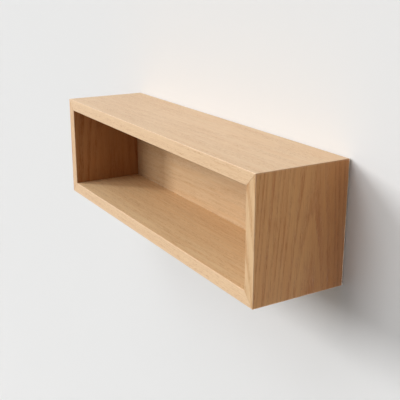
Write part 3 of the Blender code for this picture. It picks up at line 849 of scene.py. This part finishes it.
def plug_mesh(node):
    """A CAD node's plug about +Z with its collar at height 0."""
    low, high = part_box(node)
    collar = (high.x - low.x) / 2
    length = high.y - low.y
    shape = bmesh.new()
    turn(shape, plug_outline(collar, length), PLUG_SIDES, closed=True)
    for side in (-1, 1):
        for vert in bmesh.ops.create_cube(shape, size=1.0)["verts"]:
            ahead = vert.co.z > 0
            reach = PLUG_RADIUS if ahead else collar - FIN_SHY
            outwards = vert.co.x * side > 0
            vert.co.x = side * (reach if outwards else PLUG_RADIUS - FIN_FOOT)
            vert.co.y *= FIN_WIDTH
            vert.co.z = PLUG_NECK if ahead else FIN_START
    whole = mesh_of("plug_whole", shape)
    slit = bmesh.new()
    for vert in bmesh.ops.create_cube(slit, size=1.0)["verts"]:
        vert.co.x *= collar * 3
        vert.co.y *= PLUG_SPLIT
        vert.co.z = PLUG_NECK + SLIT_START if vert.co.z < 0 else length + SLIT_PAST
    return cut_away("nylon_plug", whole, mesh_of("plug_slit", slit), PLUG_EDGE, build_nylon())


nylon_plug = plug_mesh("wall_plug_1")
for number in range(1, 4):
    node = f"wall_plug_{number}"
    place_piece(node, "nylon", nylon_plug, into_wall(node), "wall_mount")


# The wall pads are two discs die-cut from pressed felt and stuck to the bottom board's rear edge.
# They keep the shelf clear of the wall, and their edges are a little furred and bulged.
PAD_SIDES = 72
PAD_RINGS = 9
PAD_EDGE = 0.0006
PAD_EDGE_STEPS = 9
FELT_SHRINK = 0.016
FELT_DIP = 0.00006
WOOL_DARK = (0.13, 0.128, 0.124)
WOOL_PALE = (0.30, 0.295, 0.285)
WOOL_CLUMP = (0.20, 0.19, 0.18)


def build_felt():
    """Pressed felt: matted fibres that lie every way, in mixed greys."""
    finish, tree, shader = new_finish("felt_pressed")
    in_mm = place_in_mm(tree)
    matted = 0.0
    for lay in (0.0, 1.05, 2.1):
        turned = {"Vector": in_mm, "Rotation": (0.0, lay, lay / 2)}
        laid = add(tree, "ShaderNodeMapping", turned).outputs[0]
        strands = noise(tree, laid, (1.7, 0.12, 0.09), 2.0, 0.6, 0.8)
        matted = calc(tree, "MAXIMUM", matted, strands)
    clumps = noise(tree, in_mm, (0.8, 0.8, 0.8), 3.0, 0.6)
    wool = blend_colour(tree, ramp(tree, matted, 0.45, 0.75), WOOL_DARK, WOOL_PALE)
    wool = blend_colour(tree, ramp(tree, clumps, 0.4, 0.7, 0.0, 0.6), wool, WOOL_CLUMP)
    tree.links.new(wool, shader.inputs["Base Color"])
    tree.links.new(ramp(tree, matted, 0.3, 0.8, 0.86, 0.96), shader.inputs["Roughness"])
    shader.inputs["Sheen Weight"].default_value = 0.4
    emboss(tree, shader, calc(tree, "MULTIPLY_ADD", clumps, 0.6, matted), 0.9, 0.00015)
    return finish


def felt_disc(radius, thickness, seed):
    """A felt disc about +Z with a bulged edge and a slightly uneven face."""
    inner = radius - PAD_EDGE
    middle = thickness / 2
    outline = [(0.0, 0.0)]
    for ring in range(1, PAD_RINGS):
        outline.append((inner * ring / (PAD_RINGS - 1), 0.0))
    for step in range(1, PAD_EDGE_STEPS):
        swing = math.pi * step / PAD_EDGE_STEPS
        outline.append((inner + PAD_EDGE * math.sin(swing), middle - middle * math.cos(swing)))
    for ring in range(PAD_RINGS - 1, 0, -1):
        outline.append((inner * ring / (PAD_RINGS - 1), thickness))
    outline.append((0.0, thickness))
    shape = bmesh.new()
    turn(shape, outline, PAD_SIDES)
    uneven = np.random.default_rng(seed)
    for vert in shape.verts:
        shrink = 1.0 - FELT_SHRINK * uneven.random()
        dip = FELT_DIP * uneven.random()
        vert.co.x *= shrink
        vert.co.y *= shrink
        vert.co.z += dip if vert.co.z < middle else -dip
    mesh = mesh_of("felt_disc", shape)
    mesh.shade_smooth()
    return mesh


felt_pressed = build_felt()
for seed, label in enumerate(("left", "right")):
    node = f"wall_pad_{label}"
    low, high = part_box(node)
    disc = felt_disc((high.x - low.x) / 2, high.y - low.y, seed)
    disc.materials.append(felt_pressed)
    pad = place_piece(node, "felt", disc, into_wall(node), "shelf")


# The shelf hangs on a plain pale wall above a plain pale floor, in soft light from six far lamps.
# The wall shows from the front only and the floor from above only, so that the shelf's back and
# underside can be seen too. Neither casts a shadow.
WALL_PALE = (0.825, 0.827, 0.824)
FLOOR_PALE = (0.82, 0.815, 0.80)
FLOOR_BOUNCE = (0.38, 0.375, 0.37)
FLOOR_Z = -1.45
STAGE_REACH = 6.0
GAP_REACH = 0.015


def direct_rays(tree):
    """Masks of the rays that show a surface or the backdrop, of the mirrored ones, and all ray facts."""
    path = add(tree, "ShaderNodeLightPath").outputs
    mirrored = calc(tree, "MAXIMUM", path["Is Glossy Ray"], path["Is Transmission Ray"])
    return calc(tree, "MAXIMUM", path["Is Camera Ray"], mirrored), mirrored, path


def stage_plane(name, corners, colour, bounced):
    """
    A large flat face seen from its front only; it sends light on as if it had the bounced colour.
    A mirrored ray that starts close to it passes, so that the rail on the wall shows the backdrop.
    """
    shape = bmesh.new()
    shape.faces.new([shape.verts.new(corner) for corner in corners])
    mesh = bpy.data.meshes.new(name)
    shape.to_mesh(mesh)
    shape.free()
    finish, tree, shader = new_finish(name)
    direct, mirrored, path = direct_rays(tree)
    tree.links.new(blend_colour(tree, direct, bounced, colour), shader.inputs["Base Color"])
    shader.inputs["Roughness"].default_value = 0.9
    shader.inputs["Specular IOR Level"].default_value = 0.0
    clear = add(tree, "ShaderNodeBsdfTransparent")
    behind = add(tree, "ShaderNodeNewGeometry").outputs["Backfacing"]
    in_gap = calc(tree, "LESS_THAN", path["Ray Length"], GAP_REACH)
    through = calc(tree, "MAXIMUM", behind, calc(tree, "MULTIPLY", in_gap, mirrored))
    mixed = add(tree, "ShaderNodeMixShader", {0: through, 1: shader.outputs[0], 2: clear.outputs[0]})
    tree.links.new(mixed.outputs[0], tree.nodes["Material Output"].inputs["Surface"])
    mesh.materials.append(finish)
    plane = bpy.data.objects.new(name, mesh)
    bpy.context.scene.collection.objects.link(plane)
    plane.visible_shadow = False


stage_plane(
    "stage_wall",
    (
        (-STAGE_REACH, 0.0, FLOOR_Z),
        (STAGE_REACH, 0.0, FLOOR_Z),
        (STAGE_REACH, 0.0, STAGE_REACH),
        (-STAGE_REACH, 0.0, STAGE_REACH),
    ),
    WALL_PALE,
    WALL_PALE,
)
stage_plane(
    "stage_floor",
    (
        (-STAGE_REACH, -STAGE_REACH, FLOOR_Z),
        (STAGE_REACH, -STAGE_REACH, FLOOR_Z),
        (STAGE_REACH, STAGE_REACH, FLOOR_Z),
        (-STAGE_REACH, STAGE_REACH, FLOOR_Z),
    ),
    FLOOR_PALE,
    FLOOR_BOUNCE,
)

# A broad softbox stands nearly in front, a small strong one to the left and weak ones above and aside.
# One overhead lights the top, and one behind and below lights the back through the wall. What these
# two light sends nothing on, so that no light spills from behind the shelf onto the wall in front.
LAMP_DISTANCE = 100.0
MANY_BOUNCES = 1024
SHELF_MIDDLE = (box_low + box_high) / 2


def soft_lamp(name, azimuth, elevation, width, height, level, bounces=MANY_BOUNCES):
    """
    A far softbox, placed and sized in degrees as the shelf sees it. At level 1 it lights a face that
    is square to it as the face's colour is written. With 0 bounces it lights only what is in view.
    """
    aside, rise = math.radians(azimuth), math.radians(elevation)
    away = Vector((math.sin(aside) * math.cos(rise), -math.cos(aside) * math.cos(rise), math.sin(rise)))
    light = bpy.data.lights.new(name, "AREA")
    light.shape = "RECTANGLE"
    light.size = 2 * LAMP_DISTANCE * math.tan(math.radians(width / 2))
    light.size_y = 2 * LAMP_DISTANCE * math.tan(math.radians(height / 2))
    light.energy = level * (math.pi * LAMP_DISTANCE) ** 2
    light.cycles.max_bounces = bounces
    # With this on, a lamp without bounces loses part of its direct light too.
    light.cycles.use_multiple_importance_sampling = bounces > 0
    lamp = bpy.data.objects.new(name, light)
    bpy.context.scene.collection.objects.link(lamp)
    lamp.location = SHELF_MIDDLE + away * LAMP_DISTANCE
    lamp.rotation_mode = "QUATERNION"
    lamp.rotation_quaternion = (-away).to_track_quat("-Z", "Y")
    lamp.visible_camera = False


soft_lamp("broad_lamp", azimuth=-17.0, elevation=21.0, width=26.0, height=30.0, level=0.26)
soft_lamp("left_lamp", azimuth=-45.5, elevation=18.0, width=11.0, height=20.0, level=0.56)
soft_lamp("upper_lamp", azimuth=-30.0, elevation=44.0, width=40.0, height=26.0, level=0.16)
soft_lamp("side_lamp", azimuth=-76.0, elevation=12.0, width=20.0, height=30.0, level=0.14)
soft_lamp("high_lamp", azimuth=-20.0, elevation=74.0, width=50.0, height=50.0, level=0.25, bounces=0)
soft_lamp("rear_lamp", azimuth=180.0, elevation=-40.0, width=18.0, height=50.0, level=1.15, bounces=0)

# The air lights the shelf weakly from all round, and shows as a pale backdrop.
AIR_COLOUR = (1.0, 0.99, 0.98)
AIR_LEVEL = 0.19
BACKDROP_PALE = (0.86, 0.855, 0.845)
world = bpy.data.worlds.new("studio")
bpy.context.scene.world = world
world.use_nodes = True
air = world.node_tree
lit = air.nodes["Background"]
lit.inputs["Color"].default_value = (*AIR_COLOUR, 1.0)
lit.inputs["Strength"].default_value = AIR_LEVEL
shown = add(air, "ShaderNodeBackground", {"Color": (*BACKDROP_PALE, 1.0), "Strength": 1.0})
direct = direct_rays(air)[0]
backdrop = add(air, "ShaderNodeMixShader", {0: direct, 1: lit.outputs[0], 2: shown.outputs[0]})
air.links.new(backdrop.outputs[0], air.nodes["World Output"].inputs["Surface"])

# The camera stands to the right of the shelf and a little above it.
CAMERA_PLACE = Vector((0.9802, -0.6243, 0.2895))
CAMERA_AIM = Vector((0.2026, -0.1470, 0.0086))
CAMERA_ROLL = math.radians(0.333)
FOCAL_PIXELS = 735.27
FRAME_PIXELS = 400
SENSOR = 36.0
view = bpy.data.cameras.new("camera")
view.sensor_width = SENSOR
view.lens = FOCAL_PIXELS / FRAME_PIXELS * SENSOR
view.shift_x = -0.03
view.shift_y = -0.01
camera = bpy.data.objects.new("camera", view)
bpy.context.scene.collection.objects.link(camera)
facing = (CAMERA_AIM - CAMERA_PLACE).to_track_quat("-Z", "Y").to_matrix()
rolled = (facing @ Matrix.Rotation(CAMERA_ROLL, 3, "Z")).to_4x4()
camera.matrix_world = Matrix.Translation(CAMERA_PLACE) @ rolled
bpy.context.scene.camera = camera
bpy.context.scene.view_settings.view_transform = "Standard"
